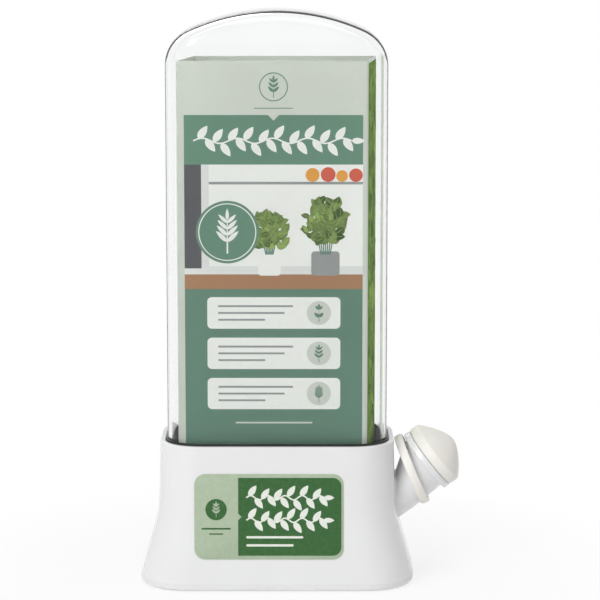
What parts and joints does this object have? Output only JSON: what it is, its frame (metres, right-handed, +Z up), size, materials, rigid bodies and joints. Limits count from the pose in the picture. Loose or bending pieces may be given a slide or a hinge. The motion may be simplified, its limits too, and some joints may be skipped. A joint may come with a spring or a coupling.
{
  "type": "herb keeper",
  "caption": "Herb keeper: flared water tank with a capped side filling spout, a clear lift-off dome, a slotted stem basket inside and a printed card sleeve.",
  "frame": {"origin": "middle of the flat underside, on the surface that the keeper stands on", "axes": "+X towards the filling spout, -Y towards the labelled front face, +Z up"},
  "size_m": [0.1516, 0.073, 0.27],
  "materials": {
    "white_plastic": "high gloss, moulded",
    "tray_plastic": "satin, moulded",
    "cream_silicone": "soft satin",
    "clear_plastic": "clear, high gloss",
    "seal_rubber": "satin black",
    "printed_card": "coated, printed in greens",
    "label_paper": "coated sticker, printed in greens"
  },
  "bodies": {
    "base": {"base_shell": "white_plastic", "base_floor": "white_plastic", "fill_spout": "white_plastic", "cap_ring": "cream_silicone", "cap_strap": "cream_silicone", "front_label": "label_paper"},
    "cap": {"spout_cap": "cream_silicone"},
    "tray": {"stem_tray": "tray_plastic"},
    "card": {"display_card": "printed_card"},
    "dome": {"dome_cover": "clear_plastic", "dome_seal": "seal_rubber"}
  },
  "joints": [
    {"name": "dome_lift", "type": "slide", "parent": "base", "child": "dome", "axis": [0, 0, 1], "range_m": [0, 0.3]},
    {"name": "card_lift", "type": "slide", "parent": "base", "child": "card", "axis": [0, 0, 1], "range_m": [0, 0.09]},
    {"name": "tray_lift", "type": "slide", "parent": "base", "child": "tray", "axis": [0, 0, 1], "range_m": [0, 0.084]},
    {"name": "cap_flip", "type": "hinge", "parent": "base", "child": "cap", "pos_m": [0.07293, 0.0182, 0.05673], "axis": [-0.6184, 0, 0.7859], "range_deg": [0, 120], "deforming": ["cap_strap"]}
  ],
  "couplings": [
    {"joint": "card_lift", "follows": "dome_lift", "ratio": 0.3},
    {"joint": "tray_lift", "follows": "dome_lift", "ratio": 0.28}
  ]
}
